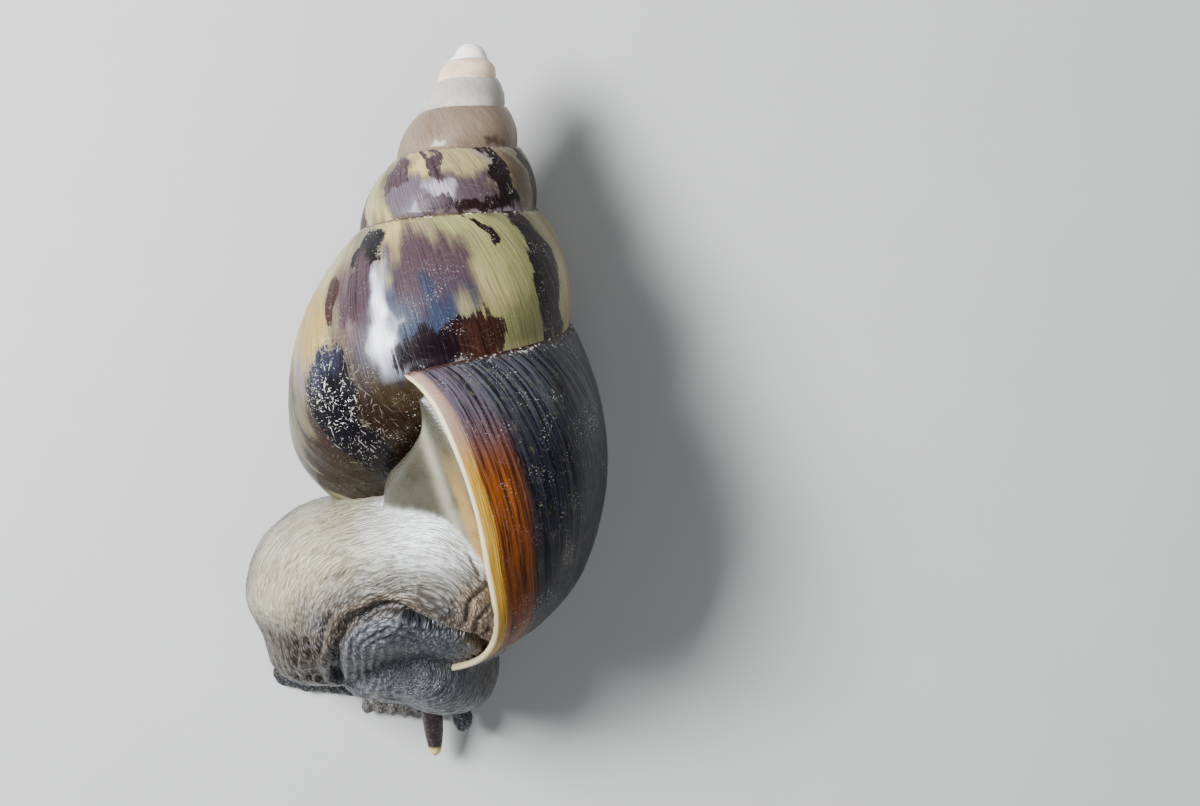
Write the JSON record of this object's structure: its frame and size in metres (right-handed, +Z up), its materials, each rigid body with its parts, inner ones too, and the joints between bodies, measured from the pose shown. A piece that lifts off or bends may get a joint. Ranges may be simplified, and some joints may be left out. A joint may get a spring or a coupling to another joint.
{
  "type": "giant african land snail",
  "caption": "Giant African land snail lying on its long banded shell, soft body out of the aperture, curled round on its sole with the feelers forward.",
  "frame": {"origin": "middle of the small flat on the floor that the body whorl of the shell rests on", "axes": "+Y towards the spire, which leans a little towards +X; -Y towards the head; -X the way the aperture faces; +Z up"},
  "size_m": [0.0605, 0.1201, 0.0539],
  "materials": {
    "shell": "smooth, waxy gloss over dark streaks on cream and olive",
    "mantle": "wet, smooth",
    "flesh": "wet, wrinkled",
    "dark_flesh": "wet, with fine raised grains",
    "eye": "wet gloss"
  },
  "bodies": {
    "root": {"shell": "shell", "mantle_collar": "mantle", "trunk": "flesh", "neck": "dark_flesh", "head": "dark_flesh", "foot_front": "dark_flesh", "foot_middle": "dark_flesh", "foot_rear": "flesh", "tail": "dark_flesh", "lappet_left": "dark_flesh", "lappet_right": "dark_flesh", "tentacle_upper_left": "dark_flesh", "tentacle_upper_right": "dark_flesh", "tentacle_lower_left": "dark_flesh", "tentacle_lower_right": "dark_flesh", "eye_left": "eye", "eye_right": "eye"}
  },
  "joints": []
}
